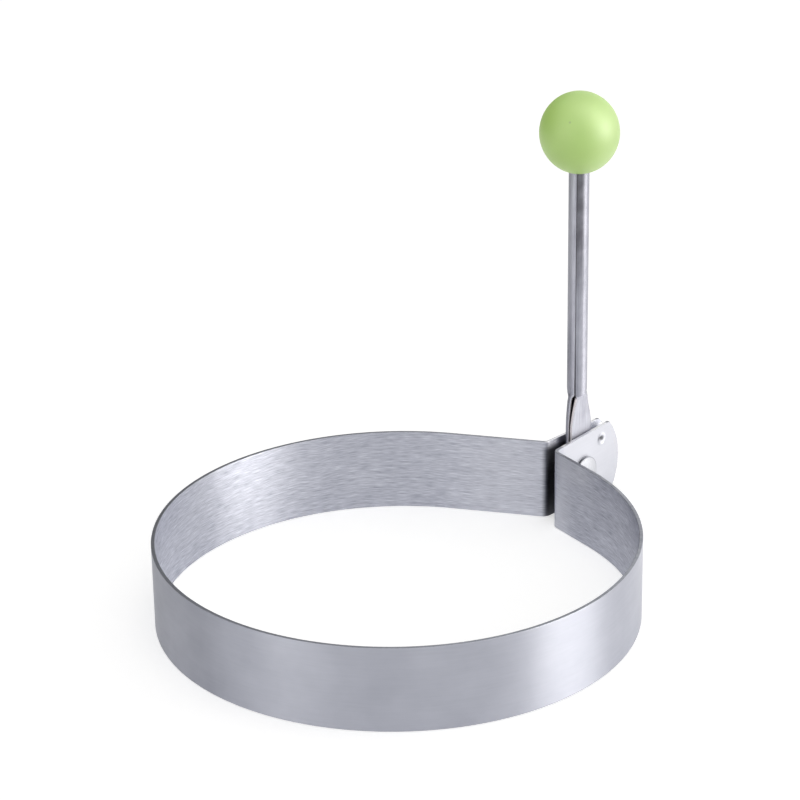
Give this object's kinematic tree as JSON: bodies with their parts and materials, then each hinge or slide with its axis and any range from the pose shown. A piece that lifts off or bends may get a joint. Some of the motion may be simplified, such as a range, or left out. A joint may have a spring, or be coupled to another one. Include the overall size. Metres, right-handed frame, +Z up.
{
  "type": "egg ring",
  "caption": "Round steel egg ring bent from a strip, with riveted tabs that hold a fold-in rolled steel handle and a ball knob.",
  "frame": {"origin": "below the middle of the whole outline, on the surface that the ring stands on", "axes": "+Z up, +Y from the ring towards its hinge tabs, +X along the hinge rivet to its domed head"},
  "size_m": [0.0914, 0.1139, 0.0874],
  "materials": {
    "band_steel": "brushed inside, satin outside",
    "rivet_steel": "satin",
    "handle_steel": "rolled sheet, lightly drawn lengthwise",
    "knob_plastic": "satin moulded"
  },
  "bodies": {
    "ring": {"ring_band": "band_steel", "hinge_rivet": "rivet_steel"},
    "handle": {"handle_stem": "handle_steel", "ball_knob": "knob_plastic"}
  },
  "joints": [
    {"name": "handle_fold", "type": "hinge", "parent": "ring", "child": "handle", "pos_m": [0, 0.04505, 0.0082], "axis": [1, 0, 0], "range_deg": [0, 90]}
  ]
}
